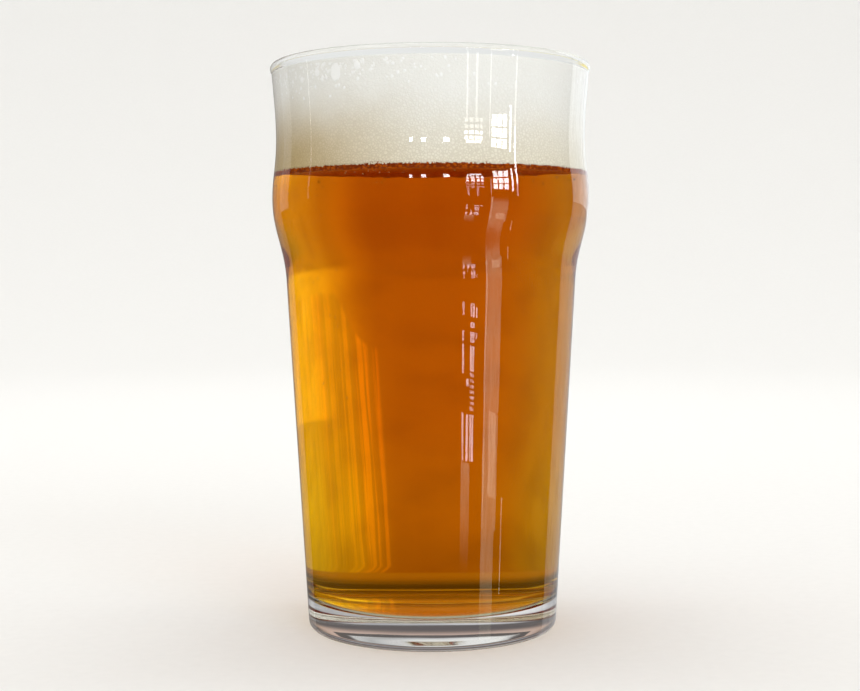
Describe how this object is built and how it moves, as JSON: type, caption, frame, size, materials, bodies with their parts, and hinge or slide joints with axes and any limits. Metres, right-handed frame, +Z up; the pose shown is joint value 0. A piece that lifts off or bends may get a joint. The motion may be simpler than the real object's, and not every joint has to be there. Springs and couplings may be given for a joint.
{
  "type": "pint of beer",
  "caption": "Tapered pint glass with a dished foot, a bulge below the lip and a beaded rim, filled with clear amber beer under a deep head of foam.",
  "frame": {"origin": "on the table, at the middle of the foot", "axes": "+Z up along the glass, which is turned about it; -Y is the side the picture was taken from; +X is right in the picture"},
  "size_m": [0.086, 0.086, 0.152],
  "materials": {
    "clear_glass": "fire-polished clear soda-lime glass",
    "amber_beer": "bright clear amber liquid",
    "beer_foam": "dense cream-coloured froth of fine bubbles"
  },
  "bodies": {
    "root": {"glass": "clear_glass", "beer": "amber_beer", "foam": "beer_foam"}
  },
  "joints": []
}
